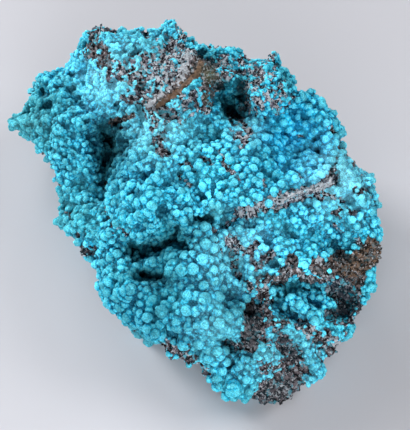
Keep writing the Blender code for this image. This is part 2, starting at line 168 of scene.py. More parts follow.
# Holes and clefts: name, pixels of the line they follow, half width and depth in millimetres, and how
# dark the painted shade in them is
HOLES = [
    ("gap behind the rim fin", [(43, 84), (43, 96), (45, 104), (38, 115)], 1.2, 3.0, 0.6),
    ("gap behind the inner fin", [(57, 78), (57, 90)], 1.0, 2.5, 0.5),
    ("wing pit", [(46, 104)], 1.5, 3.5, 0.9),
    ("wing pit, upper", [(71, 75), (78, 72)], 1.0, 2.5, 0.6),
    ("wing fold", [(72, 88), (74, 98), (83, 104)], 1.5, 4.0, 0.8),
    ("wing crevice", [(62, 120), (64, 128)], 0.8, 2.0, 0.5),
    ("wing crack", [(97, 128), (104, 124), (117, 124)], 1.0, 3.0, 1.0),
    ("gully over the crack", [(105, 112), (105, 119)], 1.0, 2.5, 0.6),
    ("wing cleft", [(104, 134), (113, 144), (110, 156)], 5.4, 9.0, 0.8),
    ("wing cleft, right edge", [(116, 130), (119, 142), (120, 153)], 2.8, 9.0, 0.85),
    ("wing cleft, left part", [(92, 138), (98, 150), (100, 164)], 2.6, 4.0, 0.5),
    ("wing cleft, shade", [(104, 132), (117, 138), (116, 154), (106, 168)], 6.4, 0.0, 0.6),
    ("wing cleft, foot", [(106, 166), (102, 181)], 2.3, 5.0, 0.6),
    ("under the flank ledge", [(90, 148), (93, 158)], 1.0, 2.5, 0.7),
    ("flank furrow", [(74, 158), (69, 170)], 1.3, 3.0, 0.6),
    ("flank crack", [(70, 184), (84, 184)], 0.8, 2.0, 0.6),
    ("flank crack, lower", [(80, 213), (86, 216)], 0.9, 2.5, 0.8),
    ("flank valley", [(97, 200), (100, 208), (104, 218)], 1.4, 3.0, 0.6),
    ("flank valley's foot", [(98, 222), (97, 230)], 1.0, 2.5, 0.7),
    ("left rim hole", [(50, 150), (57, 151), (63, 157)], 0.9, 3.0, 1.0),
    ("left rim furrow", [(62, 190), (66, 202), (62, 210)], 1.0, 2.0, 0.7),
    ("left corner", [(74, 236), (80, 236)], 1.2, 2.0, 0.7),
    ("left corner, low", [(80, 250), (92, 253)], 1.3, 2.5, 0.8),
    ("slope pit, high", [(86, 66), (88, 68)], 0.8, 2.0, 0.5),
    ("slope pit", [(109, 84), (113, 82)], 1.2, 3.0, 0.5),
    ("slope pit, lower", [(115, 108), (125, 111)], 1.4, 4.0, 1.0),
    ("slope pit's end", [(121, 96), (126, 101)], 1.0, 2.0, 0.5),
    ("slope pit, right", [(137, 108), (140, 117)], 1.2, 3.5, 0.8),
    ("patch's pit", [(92, 38), (98, 40)], 0.9, 2.0, 0.7),
    ("patch's pit, low", [(104, 62), (106, 64)], 0.8, 2.0, 0.7),
    ("crown gully", [(138, 44), (136, 50)], 1.1, 3.0, 0.8),
    ("crown gully, lower", [(133, 54), (128, 59)], 1.1, 3.0, 0.9),
    ("ridge crevice", [(145, 33), (147, 36)], 0.8, 2.0, 0.8),
    ("ridge crevice, right", [(166, 34), (169, 42)], 0.8, 2.0, 0.8),
    ("crown V", [(141, 84), (145, 86)], 1.1, 3.0, 1.0),
    ("patch's crack", [(171, 74), (176, 79)], 0.7, 1.5, 0.4),
    ("beside the vein", [(184, 81), (190, 72), (197, 63)], 0.7, 1.2, 0.4),
    ("under the vein", [(158, 108), (166, 112), (174, 115)], 1.4, 3.0, 0.8),
    ("under the vein, right", [(182, 103), (190, 104)], 0.8, 2.0, 0.6),
    ("under the ridge", [(207, 57), (214, 63)], 1.2, 3.0, 0.8),
    ("gap by the ridge", [(238, 69), (241, 73)], 1.4, 4.0, 1.0),
    ("vug, upper end", [(218, 87), (228, 86)], 2.1, 5.0, 0.8),
    ("vug, right", [(240, 84), (241, 100)], 2.4, 6.0, 1.0),
    ("vug, middle", [(219, 97), (228, 98), (236, 96)], 3.8, 6.0, 0.6),
    ("vug", [(230, 109), (242, 111)], 3.4, 7.0, 0.9),
    ("bowl by the knob", [(203, 53), (213, 60)], 2.2, 3.0, 0.75),
    ("mass pit", [(247, 70), (248, 79)], 0.8, 2.0, 0.9),
    ("mass pit, right", [(257, 66), (260, 68)], 0.9, 2.0, 0.8),
    ("mass pit, far right", [(277, 63), (278, 65)], 0.9, 2.0, 1.0),
    ("mass edge pit", [(285, 74), (285, 78)], 0.8, 2.5, 0.8),
    ("bowl edge pit", [(306, 101), (310, 104)], 1.0, 3.0, 0.9),
    ("bowl edge pit, lower", [(304, 117), (309, 118)], 1.2, 3.5, 1.0),
    ("bowl crevice", [(276, 119), (277, 124)], 0.9, 3.0, 0.9),
    ("bowl crevice, left", [(258, 120), (259, 127)], 0.8, 3.0, 0.9),
    ("bowl crevice, middle", [(286, 127), (286, 134)], 0.9, 3.0, 0.9),
    ("under the large lobe", [(263, 133), (271, 134)], 0.7, 2.0, 0.7),
    ("bowl pit, far left", [(215, 130), (220, 137)], 1.1, 3.0, 0.8),
    ("bowl pit, high left", [(204, 120), (207, 123)], 1.0, 2.5, 0.8),
    ("bowl pit, right", [(318, 137), (312, 142)], 1.0, 3.0, 0.95),
    ("bowl pit, deep", [(317, 149), (321, 155)], 1.3, 4.0, 1.0),
    ("bowl floor", [(297, 157), (299, 149)], 0.9, 3.0, 0.9),
    ("bowl floor, left", [(272, 150), (273, 158)], 0.9, 3.0, 0.8),
    ("wall pit, high", [(321, 123), (323, 126)], 0.8, 2.0, 0.8),
    ("bowl crack", [(306, 171), (314, 166)], 0.7, 2.0, 0.8),
    ("bowl crack, left", [(272, 174), (278, 178)], 0.9, 2.0, 0.7),
    ("wall hollow", [(340, 172), (339, 183)], 1.5, 4.0, 0.6),
    ("shoulder hollow", [(348, 198), (354, 206), (358, 210)], 1.3, 3.5, 0.7),
    ("shoulder hollow, right", [(366, 188), (370, 197)], 1.3, 3.5, 0.7),
    ("rim gully", [(374, 198), (376, 212)], 0.8, 2.0, 0.7),
    ("slope furrow", [(360, 222), (361, 237)], 0.7, 2.0, 0.8),
    ("hump crevice", [(143, 174), (150, 172), (154, 162)], 1.3, 4.0, 0.85),
    ("hump crevice, lower", [(131, 191), (138, 194)], 1.4, 4.0, 0.85),
    ("slope speck", [(181, 172), (183, 173)], 0.8, 2.0, 0.9),
    ("slope hollow", [(194, 172), (198, 178), (196, 186)], 1.1, 3.0, 0.8),
    ("slope hollow, low", [(199, 191), (203, 197)], 1.0, 2.5, 0.9),
    ("slope crack", [(222, 192), (226, 188)], 0.7, 2.0, 0.8),
    ("slope crevice", [(186, 155), (190, 160)], 0.8, 2.0, 0.6),
    ("specks' hollow", [(205, 160), (209, 163)], 1.0, 2.0, 0.8),
    ("hump's underside", [(162, 212), (172, 225), (168, 234)], 2.6, 3.0, 0.5),
    ("diagonal cleft, head", [(189, 222), (202, 220), (211, 215)], 1.7, 5.0, 0.6),
    ("diagonal cleft, bend", [(177, 228), (184, 236)], 2.0, 5.0, 0.5),
    ("diagonal cleft", [(176, 241), (160, 246), (146, 249), (137, 250)], 3.4, 6.0, 0.6),
    ("diagonal cleft, left branch", [(130, 243), (134, 252)], 1.7, 4.0, 0.6),
    ("diagonal cleft, shade", [(180, 238), (160, 246), (137, 251)], 6.0, 0.0, 0.5),
    ("brown rock, shade", [(250, 315), (252, 340)], 3.2, 0.0, 0.4),
    ("foot rock, shade", [(266, 396), (284, 384)], 5.0, 0.0, 0.3),
    ("front rock, shade", [(286, 342), (296, 356)], 3.0, 0.0, 0.4),
    ("saddle pit", [(143, 274), (152, 276), (162, 278)], 2.5, 6.0, 0.9),
    ("saddle pit, shade", [(138, 274), (152, 277), (168, 281)], 4.4, 0.0, 0.5),
    ("saddle pit's end", [(168, 281), (184, 283)], 0.8, 3.0, 0.8),
    ("saddle speck, left", [(107, 262), (108, 270)], 0.7, 2.0, 0.7),
    ("saddle speck", [(114, 268), (114, 272)], 1.0, 2.5, 1.0),
    ("under the rib's root", [(243, 225), (252, 227)], 1.3, 3.0, 0.5),
    ("under the rib", [(308, 204), (314, 200), (318, 198)], 1.1, 3.0, 0.5),
    ("lower bowl pit", [(285, 226), (286, 233), (292, 235)], 1.5, 4.0, 0.9),
    ("lower bowl pit, right", [(314, 232), (320, 234)], 1.0, 2.5, 0.7),
    ("lower bowl wall", [(330, 241), (334, 250)], 1.6, 3.0, 0.5),
    ("over the brow", [(343, 254), (352, 261)], 1.0, 2.5, 0.9),
    ("hollow in the brow", [(274, 262), (278, 268)], 1.6, 3.5, 0.5),
    ("gully", [(231, 250), (232, 256)], 1.0, 3.0, 0.9),
    ("gully, middle", [(234, 262), (238, 266)], 1.1, 3.0, 0.9),
    ("gully, lower", [(236, 272), (240, 279)], 1.3, 3.5, 0.95),
    ("gully's foot", [(246, 284), (248, 287)], 1.0, 2.0, 0.9),
    ("spur hollow, upper", [(222, 292), (234, 294)], 1.3, 3.0, 0.7),
    ("spur hollow", [(226, 303), (238, 305), (246, 312)], 1.5, 5.0, 0.95),
    ("cave roof", [(284, 289), (300, 285), (318, 288), (330, 290)], 2.2, 7.0, 0.45),
    ("cave, left", [(279, 296), (277, 306), (283, 315)], 1.8, 5.0, 0.4),
    ("cave, behind the tongue", [(306, 294), (318, 303), (326, 310)], 2.2, 4.0, 0.0),
    ("cave, under the tongue", [(288, 308), (295, 313)], 1.0, 3.0, 0.85),
    ("cave, right", [(338, 290), (350, 296), (352, 304)], 3.4, 6.0, 0.6),
    ("cave, lower right", [(332, 316), (342, 312)], 2.6, 5.0, 0.65),
    ("cave, low", [(322, 326), (330, 328)], 1.2, 3.0, 0.6),
    ("front pit", [(282, 349), (283, 352)], 1.1, 3.0, 0.95),
    ("front pit, right", [(292, 351), (296, 355)], 1.1, 2.5, 0.9),
    ("front hole", [(309, 368), (312, 371)], 1.5, 3.5, 1.0),
    ("sill pit", [(318, 341), (321, 343)], 0.9, 2.0, 0.9),
    ("notch", [(226, 343), (233, 349)], 1.9, 6.0, 0.8),
    ("notch, lower", [(227, 357), (230, 364)], 1.4, 5.0, 0.95),
    ("foot pit", [(245, 370), (248, 372)], 0.9, 2.5, 0.95),
    ("foot pit, lower", [(240, 381), (242, 382)], 0.9, 2.0, 0.9),
    ("foot crease", [(246, 388), (248, 395)], 0.7, 2.0, 0.8),
    ("rock pit", [(247, 330), (252, 336)], 0.9, 2.0, 0.8),
    ("lower left pit", [(151, 331), (155, 334)], 0.9, 2.5, 0.95),
    ("lower left pit, middle", [(165, 331), (169, 335)], 0.9, 2.5, 0.95),
    ("lower left pit, right", [(173, 337), (180, 338)], 0.9, 2.5, 0.95),
    ("lower body crevice", [(155, 310), (157, 314)], 0.8, 2.0, 0.8),
    ("under the spur ball", [(190, 301), (197, 303)], 0.8, 2.0, 0.6),
    ("beside the foot", [(195, 345), (198, 354)], 1.2, 2.5, 0.95),
]

# Holes up to this half width in millimetres are shallower and get less painted shade than the rest
SMALL_HOLE = 1.6
SMALL_HOLE_SHARE = 0.7
SMALL_HOLE_SHADE = 0.4

# Ledges and ridges: name, pixels of the line they follow, reach and height in millimetres
LEDGES = [
    ("rim fin", [(14, 122), (20, 113), (28, 101), (34, 88), (45, 76)], 1.0, 1.2),
    ("inner fin", [(50, 77), (50, 92), (54, 98)], 1.0, 1.6),
    ("rib's root", [(240, 213), (254, 212)], 1.7, 1.3),
    ("rib", [(256, 206), (280, 202), (300, 193), (318, 189), (330, 183)], 1.2, 2.4),
    ("vein", [(150, 106), (164, 97), (180, 84), (198, 66)], 1.1, 1.9),
    ("cave tongue", [(290, 294), (300, 303), (309, 312), (316, 322)], 1.9, 3.0),
    ("olive knob", [(208, 68), (214, 77)], 2.6, 4.0),
    ("wall vein", [(334, 166), (338, 152), (340, 140)], 0.7, 1.0),
    ("brow, left", [(262, 279), (280, 280), (290, 266)], 1.5, 1.8),
    ("brow, right", [(296, 268), (306, 277), (326, 272), (345, 266)], 1.7, 2.0),
    ("cave column", [(264, 288), (268, 300), (264, 312)], 1.8, 1.6),
    ("front vein", [(290, 330), (301, 340), (307, 352), (314, 368)], 1.1, 1.8),
    ("wing ledge", [(112, 122), (124, 119), (133, 116)], 0.9, 1.8),
    ("fragment", [(230, 242), (236, 247)], 1.6, 1.8),
    ("fragment, middle", [(247, 251), (255, 246)], 1.0, 1.4),
    ("fragment, right", [(263, 261), (271, 255)], 1.2, 1.4),
]

# Rounded lumps that the crust makes: their size, how far they stand out, and the depth and half width
# of the cracks between them
LUMPS = [(8.6 * MM, 3.2 * MM, 1.2 * MM, 0.22), (4.6 * MM, 1.7 * MM, 1.0 * MM, 0.22)]

# Bare rock: name, pixels of the line it follows, half its width in millimetres, how much of the crust
# is missing there (none: crust grows over it again), and how brown the rock is
BARE_ROCK = [
    ("around the speckled slope", [(112, 70), (150, 64), (140, 92)], 4.5, 0.62, 0.15),
    ("around the upper patch", [(160, 46), (186, 44)], 3.5, 0.5, 0.15),
    ("around the vein", [(152, 112), (178, 110), (200, 98)], 4.0, 0.62, 0.15),
    ("around the crest patch", [(157, 126), (164, 150)], 3.2, 0.5, 0.2),
    ("around the mass", [(228, 66), (246, 66), (266, 70)], 4.5, 0.6, 0.1),
    ("around the mass, low", [(252, 88), (268, 98), (282, 96)], 4.5, 0.6, 0.1),
    ("around the right rim", [(350, 160), (364, 180), (372, 200)], 2.6, 0.5, 0.3),
    ("around the rib", [(255, 208), (290, 197), (330, 184)], 3.2, 0.4, 0.2),
    ("around the gully", [(228, 252), (246, 272), (262, 300)], 4.0, 0.45, 0.3),
    ("around the sill", [(276, 324), (305, 334), (335, 340)], 4.0, 0.62, 0.3),
    ("top knob", [(94, 28), (102, 24), (112, 26)], 2.6, 0.9, 0.15),
    ("upper left patch", [(90, 52), (100, 50), (104, 62)], 2.6, 0.95, 0.45),
    ("upper left patch, top", [(92, 38), (100, 41)], 1.2, 0.75, 0.3),
    ("speckled slope, top", [(116, 62), (130, 63)], 1.3, 0.8, 0.1),
    ("speckled slope", [(112, 74), (128, 72)], 1.8, 0.8, 0.1),
    ("speckled slope, low", [(122, 78), (134, 83)], 1.3, 0.8, 0.3),
    ("speckled slope, right", [(132, 72), (142, 62), (150, 56)], 1.6, 0.75, 0.25),
    ("V's top", [(141, 70), (148, 80)], 1.0, 0.95, 0.25),
    ("V's stem", [(138, 87), (144, 95), (150, 104)], 1.0, 1.0, 0.25),
    ("V's right arm", [(150, 103), (155, 95), (161, 88)], 1.0, 1.0, 0.25),
    ("between the arms", [(152, 68), (157, 84)], 2.2, 0.72, 0.1),
    ("upper patch, top", [(166, 52), (176, 50), (182, 58)], 2.4, 0.97, 0.1),
    ("upper patch", [(164, 64), (168, 72), (176, 78)], 3.0, 1.0, 0.1),
    ("upper patch, stalk", [(166, 42), (178, 42), (181, 50)], 1.3, 0.9, 0.25),
    ("white rock", [(190, 54), (184, 66), (182, 76)], 2.4, 1.0, 0.1),
    ("vein", [(150, 106), (164, 98), (180, 84), (199, 62)], 2.0, 1.0, 0.6),
    ("vein's root", [(144, 103), (150, 108)], 1.2, 0.9, 0.4),
    ("olive knob", [(206, 66), (212, 78), (218, 83)], 2.6, 1.0, 0.3),
    ("ridge flank", [(206, 87), (209, 98), (206, 110)], 1.8, 0.9, 0.3),
    ("under the vein", [(182, 104), (192, 106), (197, 97)], 1.8, 0.6, 0.1),
    ("under the vein, low", [(156, 122), (154, 129)], 1.3, 0.9, 0.2),
    ("under the vein, right", [(166, 120), (178, 124)], 1.2, 0.7, 0.2),
    ("knob over the gap", [(179, 26), (183, 38)], 1.3, 0.8, 0.1),
    ("ridge specks", [(145, 32), (147, 37)], 1.0, 0.9, 0.2),
    ("ridge specks, right", [(164, 33), (168, 38)], 1.1, 0.8, 0.1),
    ("ridge's top edge", [(208, 48), (227, 46)], 0.8, 0.8, 0.1),
    ("slope patch", [(122, 97), (129, 101)], 1.1, 0.9, 0.4),
    ("wing ledge", [(112, 122), (124, 119), (133, 116)], 1.2, 1.0, 0.7),
    ("mass, left", [(224, 62), (232, 66), (226, 76)], 2.2, 0.8, 0.15),
    ("mass, middle", [(246, 62), (250, 72), (258, 78)], 2.4, 0.75, 0.1),
    ("mass, top", [(262, 58), (274, 55)], 1.2, 0.8, 0.15),
    ("mass, lower left", [(244, 88), (250, 84), (254, 94)], 2.2, 0.8, 0.1),
    ("mass, low", [(247, 104), (262, 104), (276, 100)], 2.8, 0.75, 0.05),
    ("mass, lower right", [(262, 90), (278, 86), (287, 84)], 1.8, 0.7, 0.1),
    ("mass foot", [(251, 115), (263, 117)], 1.1, 0.75, 0.1),
    ("mass foot, right", [(277, 112), (281, 112)], 1.0, 0.85, 0.3),
    ("below the vug", [(240, 124), (246, 132), (242, 142)], 2.6, 0.85, 0.05),
    ("below the vug, left", [(230, 115), (234, 126), (236, 140)], 1.3, 0.8, 0.15),
    ("below the vug, right", [(258, 140), (263, 145)], 0.9, 0.8, 0.1),
    ("bowl speck", [(296, 133), (302, 136)], 1.0, 0.9, 0.2),
    ("crest patch", [(157, 141), (163, 154)], 1.7, 0.95, 0.35),
    ("hump specks", [(182, 163), (188, 164), (193, 169)], 1.0, 0.95, 0.2),
    ("hump specks, low", [(180, 176), (186, 181), (191, 185)], 1.0, 0.9, 0.3),
    ("slope specks", [(203, 158), (210, 164)], 1.3, 0.8, 0.2),
    ("slope specks, high", [(219, 151), (225, 158)], 0.9, 0.9, 0.2),
    ("slope specks, right", [(223, 164), (232, 172), (238, 178)], 1.2, 0.95, 0.2),
    ("slope specks, low", [(229, 186), (235, 187)], 0.8, 0.8, 0.3),
    ("bowl's foot specks", [(262, 180), (264, 188)], 0.8, 0.9, 0.1),
    ("bowl's foot specks, right", [(296, 174), (301, 177)], 0.9, 0.9, 0.2),
    ("crest edge", [(107, 182), (104, 191)], 0.8, 0.85, 0.4),
    ("crest edge, low", [(105, 210), (107, 214), (112, 226)], 0.8, 0.9, 0.5),
    ("hump foot", [(114, 233), (121, 228)], 1.3, 0.55, 0.1),
    ("hump foot, right", [(123, 235), (131, 234)], 1.3, 0.6, 0.1),
    ("rib's left end", [(238, 216), (231, 223), (226, 228)], 1.3, 0.9, 0.2),
    ("rib's root", [(243, 212), (252, 213)], 2.3, 1.0, 0.2),
    ("rib, lower", [(260, 206), (282, 203)], 2.4, 1.0, 0.2),
    ("rib, middle", [(282, 198), (300, 194), (316, 190)], 2.3, 1.0, 0.1),
    ("rib, upper", [(322, 186), (330, 182), (334, 176)], 2.3, 1.0, 0.1),
    ("rib's tail", [(320, 197), (334, 198), (342, 206)], 1.9, 0.8, 0.15),
    ("slope patch, right", [(333, 211), (341, 217)], 1.4, 0.8, 0.4),
    ("slope patch, low right", [(336, 224), (341, 229)], 1.3, 0.8, 0.2),
    ("wall vein", [(331, 173), (335, 163), (338, 152), (340, 138)], 0.8, 1.0, 0.45),
    ("wall specks", [(329, 126), (333, 132)], 1.1, 0.8, 0.3),
    ("rim specks", [(344, 150), (352, 158)], 1.1, 0.9, 0.5),
    ("rim specks, low", [(356, 164), (362, 167)], 0.9, 0.8, 0.5),
    ("shoulder specks", [(355, 190), (362, 192)], 1.3, 0.9, 0.3),
    ("shoulder specks, low", [(349, 212), (355, 214)], 1.0, 0.8, 0.3),
    ("rim rock", [(376, 203), (378, 215)], 1.0, 0.9, 0.5),
    ("rim spot", [(368, 240), (373, 241)], 1.2, 0.9, 0.8),
    ("rim spot, left", [(356, 240), (360, 245)], 1.4, 0.7, 0.2),
    ("spur specks", [(213, 229), (217, 240)], 1.4, 0.75, 0.3),
    ("spur specks, low", [(223, 250), (228, 256)], 1.2, 0.75, 0.3),
    ("fragment", [(230, 241), (236, 247)], 2.3, 1.0, 0.1),
    ("fragment, middle", [(246, 252), (256, 245)], 1.4, 1.0, 0.3),
    ("fragment, right", [(262, 262), (272, 254)], 1.7, 0.97, 0.3),
    ("fragment, low", [(252, 258), (258, 268)], 1.4, 0.9, 0.4),
    ("brow, left", [(260, 279), (276, 280)], 1.9, 0.97, 0.5),
    ("brow, middle", [(282, 279), (290, 268), (293, 261)], 2.3, 1.0, 0.5),
    ("brow, right", [(296, 268), (304, 276), (312, 280)], 1.5, 1.0, 0.5),
    ("brow block", [(317, 266), (326, 272), (337, 270)], 3.0, 1.0, 0.6),
    ("brow, far right", [(338, 260), (346, 268), (353, 276)], 3.0, 1.0, 0.7),
    ("brow's edge", [(300, 279), (320, 280), (335, 279), (348, 283)], 1.0, 1.0, 0.5),
    ("brown side", [(352, 264), (364, 256), (380, 250)], 3.6, 1.0, 0.95),
    ("brown side, low", [(352, 276), (366, 272), (376, 266)], 4.2, 1.0, 0.95),
    ("brown side, foot", [(361, 284), (362, 300), (360, 318)], 2.4, 0.97, 0.7),
    ("cave's right end", [(338, 290), (350, 300)], 4.2, 0.97, 0.15),
    ("cave's right foot", [(332, 316), (350, 316)], 3.0, 0.85, 0.15),
    ("cave column", [(262, 288), (268, 300), (264, 313)], 2.3, 0.92, 0.4),
    ("gully rock", [(234, 262), (238, 276)], 1.9, 0.85, 0.3),
    ("gully rock, low", [(246, 284), (252, 296)], 1.7, 0.75, 0.3),
    ("brown rock", [(252, 312), (254, 326), (250, 344)], 3.5, 1.0, 0.45),
    ("brown rock, right", [(262, 320), (274, 322)], 1.6, 0.92, 0.4),
    ("sill, left", [(272, 320), (287, 325)], 1.4, 0.92, 0.4),
    ("sill", [(302, 326), (308, 334)], 2.5, 0.95, 0.2),
    ("sill, right", [(316, 334), (326, 340), (337, 344)], 2.1, 0.95, 0.4),
    ("low rim", [(326, 348), (332, 354), (343, 350)], 1.6, 1.0, 0.4),
    ("low rim, left", [(317, 352), (323, 360)], 1.2, 0.75, 0.3),
    ("front rock", [(284, 342), (296, 354), (300, 368)], 3.0, 0.95, 0.3),
    ("front rock, left", [(262, 366), (276, 372)], 2.3, 0.85, 0.3),
    ("front rock, low", [(284, 362), (292, 374)], 2.3, 0.95, 0.4),
    ("front mix", [(266, 338), (278, 334)], 2.6, 0.68, 0.3),
    ("front mix, low", [(272, 350), (268, 362)], 2.2, 0.5, 0.3),
    ("foot rock", [(268, 394), (280, 386), (292, 380)], 4.4, 1.0, 0.4),
    ("foot rock, edge", [(258, 402), (276, 403), (292, 396)], 3.4, 1.0, 0.4),
    ("front hole", [(309, 368), (312, 371)], 1.8, 0.95, 0.4),
    ("lower edge", [(164, 346), (174, 356), (182, 364)], 3.2, 0.97, 0.3),
    ("lower edge, right", [(187, 354), (196, 364), (202, 372)], 3.0, 0.97, 0.3),
    ("notch rock", [(226, 343), (234, 350)], 2.0, 0.9, 0.2),
    ("left corner", [(74, 237), (82, 234)], 1.7, 0.9, 0.3),
    ("left corner, low", [(80, 250), (94, 252)], 1.9, 0.95, 0.3),
    ("left rim", [(43, 154), (50, 164), (54, 174), (58, 184)], 1.1, 0.9, 0.5),
    ("flank patch", [(66, 212), (74, 220)], 1.0, 0.75, 0.5),
    ("vein's brown side", [(158, 106), (172, 97), (183, 86), (196, 75), (201, 63)], 1.1, 1.0, 1.0),
    ("front vein", [(289, 329), (301, 340), (307, 352), (310, 362), (317, 374)], 1.3, 0.0, 0.0),
    ("blue strip", [(373, 272), (368, 288), (366, 302)], 1.2, 0.0, 0.0),
]

# White mineral in the rock: name, pixels of the line it follows, half its width in millimetres and how
# white it is
WHITE_ROCK = [
    ("white rock", [(190, 52), (185, 64), (182, 72)], 1.5, 0.8),
    ("vein", [(149, 105), (160, 96), (174, 85), (183, 77)], 0.8, 1.0),
    ("ridge", [(216, 66), (224, 62)], 1.2, 0.7),
    ("rib's root", [(240, 211), (256, 208)], 1.7, 0.6),
    ("rib, lower", [(262, 204), (282, 200)], 1.4, 0.75),
    ("rib", [(284, 197), (300, 192), (318, 188), (331, 181)], 1.5, 0.75),
    ("below the vug", [(240, 124), (246, 134)], 2.2, 0.5),
    ("mass", [(250, 104), (272, 104)], 2.2, 0.35),
    ("mass, right", [(268, 94), (270, 98)], 0.9, 0.8),
    ("fragment", [(230, 242), (235, 246)], 1.6, 0.5),
    ("fragment, middle", [(248, 251), (254, 247)], 0.8, 0.6),
    ("block over the brow", [(317, 257), (321, 262)], 1.0, 1.0),
    ("brow's edge", [(298, 270), (303, 276)], 0.7, 0.8),
    ("sill", [(303, 333), (308, 338)], 0.9, 0.8),
    ("sill, right", [(331, 341), (338, 345)], 1.3, 0.8),
    ("hump speck", [(184, 179), (188, 183)], 0.8, 0.9),
    ("slope speck", [(208, 176), (212, 178)], 0.8, 0.9),
    ("column", [(264, 284), (268, 290)], 0.6, 0.8),
]

# Crust painted lighter and darker by region, partly its own tone and partly painted light and shade: pixel, reach
# in pixels and how much
BRIGHT_CRUST = [
    ((115, 45), 30, 0.05),
    ((98, 78), 28, 0.45),
    ((45, 118), 30, -0.2),
    ((150, 115), 35, 0.1),
    ((210, 182), 30, 0.3),
    ((297, 135), 35, 0.3),
    ((335, 190), 46, 0.45),
    ((300, 300), 35, 0.8),
    ((270, 250), 35, 0.5),
    ((285, 335), 20, -0.3),
    ((150, 310), 45, -0.45),
]

# Rock with many pale grains: pixel, reach in pixels and share of grains
PALE_ROCK = [((165, 70), 42, 0.45), ((180, 105), 30, 0.45), ((255, 85), 32, 0.4), ((240, 130), 18, 0.5)]
PALE_ROCK += [((290, 198), 30, 0.4), ((305, 332), 20, 0.3), ((245, 250), 20, 0.3), ((300, 272), 30, 0.3), ((278, 388), 18, 0.2)]


def view_axes():
    """Right, up and towards the eye, for the viewer."""
    away = Vector((-math.sin(VIEW_AZIMUTH), math.cos(VIEW_AZIMUTH), 0))
    right = Vector((math.cos(VIEW_AZIMUTH), math.sin(VIEW_AZIMUTH), 0))
    lift = Vector((0, 0, 1))
    toward = -away * math.cos(VIEW_ELEVATION) + lift * math.sin(VIEW_ELEVATION)
    up = away * math.sin(VIEW_ELEVATION) + lift * math.cos(VIEW_ELEVATION)
    return right, up, toward


RIGHT, UP, TOWARD = view_axes()
EYE = AIM + TOWARD * VIEW_DISTANCE


def view_mm(points):
    """Where points fall in the view, in millimetres at the distance of the aim, from the middle pixel."""
    offset = points - np.array(EYE)
    depth = -(offset @ np.array(TOWARD))
    scale = VIEW_DISTANCE / depth / MM
    return np.stack([offset @ np.array(RIGHT) * scale, offset @ np.array(UP) * scale], axis=1)


def pixel_mm(pixel):
    """A pixel as millimetres from the middle pixel, as view_mm gives them."""
    scale = 1 / (PIXELS_PER_METRE * MM)
    return np.array([(pixel[0] - MIDDLE_PIXEL[0]) * scale, (MIDDLE_PIXEL[1] - pixel[1]) * scale])


def distance_to_line(spots, pixels):
    """How far each spot of the view is from a line through these pixels, in millimetres."""
    line = [pixel_mm(p) for p in pixels]
    if len(line) == 1:
        return np.linalg.norm(spots - line[0], axis=1)
    nearest = np.full(len(spots), np.inf)
    for start, end in zip(line, line[1:]):
        span = end - start
        along = np.clip((spots - start) @ span / (span @ span), 0, 1)
        foot = start + along[:, None] * span
        nearest = np.minimum(nearest, np.linalg.norm(spots - foot, axis=1))
    return nearest


def near_pixel(spots, pixel, reach):
    """From 1 at this pixel to 0 far from it, by a reach in pixels."""
    away = np.linalg.norm(spots - pixel_mm(pixel), axis=1) * PIXELS_PER_METRE * MM
    return np.exp(-((away / reach) ** 2))


def close_to(spots, pixels, reach):
    """Which spots are no further than about this reach from a line through these pixels, and how far
    each of them is, in millimetres."""
    line = np.array([pixel_mm(p) for p in pixels])
    low, high = line.min(axis=0) - reach, line.max(axis=0) + reach
    chosen = np.flatnonzero(np.all((spots > low) & (spots < high), axis=1))
    return chosen, distance_to_line(spots[chosen], pixels)


def ramp(values, low, high):
    share = np.clip((values - low) / (high - low), 0, 1)
    return share * share * (3 - 2 * share)


def corners(mesh):
    points = np.empty(len(mesh.vertices) * 3, np.float32)
    mesh.vertices.foreach_get("co", points)
    return points.reshape(-1, 3).astype(float)


def facing(mesh):
    normals = np.empty(len(mesh.vertices) * 3, np.float32)
    mesh.vertices.foreach_get("normal", normals)
    return normals.reshape(-1, 3).astype(float)


def set_corners(mesh, points):
    mesh.vertices.foreach_set("co", points.astype(np.float32).ravel())
    mesh.update()


def clouds(points, size, octaves=3, shift=0.0):
    """Smooth noise about 0, with lumps of this size."""
    offset = Vector((shift, shift * 0.7, -shift))
    return np.array([noise.fractal(Vector(p) + offset, 0.9, 2.0, octaves) for p in points / size])


def chips(points, size, shift=0.0):
    """From 0 at the edges of broken faces of about this size to 1 in their middles."""
    found = [noise.voronoi(p)[0] for p in points / size + shift]
    return np.array([min(1.0, (d[1] - d[0]) * 1.6) for d in found])


# The surface under the crust
def applied(obj):
    """The mesh that the object's modifiers make. The object is used up."""
    graph = bpy.context.evaluated_depsgraph_get()
    mesh = bpy.data.meshes.new_from_object(obj.evaluated_get(graph))
    bpy.data.objects.remove(obj)
    return mesh


def remeshed(mesh, step, softening):
    obj = bpy.data.objects.new("surface", mesh)
    bpy.context.scene.collection.objects.link(obj)
    voxels = obj.modifiers.new("even faces", "REMESH")
    voxels.mode = "VOXEL"
    voxels.voxel_size = step
    soften = obj.modifiers.new("soften", "SMOOTH")
    soften.factor = 0.5
    soften.iterations = softening
    return applied(obj)


